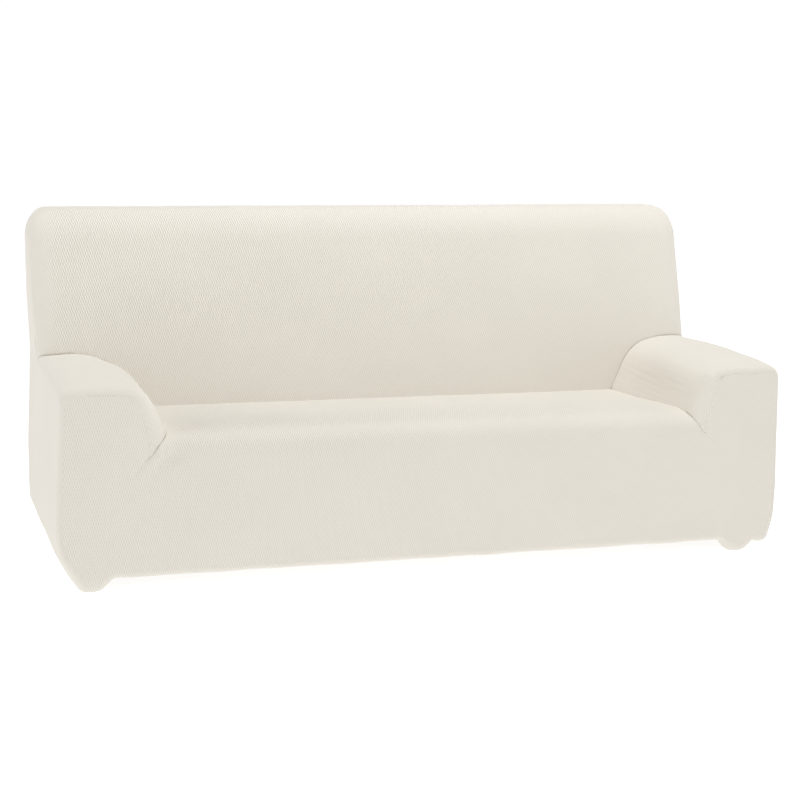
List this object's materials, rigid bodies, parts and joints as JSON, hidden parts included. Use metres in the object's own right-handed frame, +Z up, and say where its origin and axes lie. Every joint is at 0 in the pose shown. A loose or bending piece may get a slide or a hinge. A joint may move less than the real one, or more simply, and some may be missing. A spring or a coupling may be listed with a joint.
{
  "type": "sofa slipcover",
  "caption": "Fitted stretch-knit slipcover for a three-seat sofa with padded arms: hollow, open underneath, with the hem drawn in under the base.",
  "frame": {"origin": "middle of the underside of the cover's top, where it lies on the top of the sofa's back", "axes": "+X to the sitter's left along the sofa, which is to the right seen from the front; +Y to the rear; +Z up"},
  "size_m": [2.1214, 0.95, 0.9504],
  "materials": {
    "knit": "matt ivory stretch knit with a small raised cell"
  },
  "bodies": {
    "root": {"seat_front": "knit", "inside_back": "knit", "outside_back": "knit", "arm_left": "knit", "arm_right": "knit", "side_left": "knit", "side_right": "knit"}
  },
  "joints": []
}
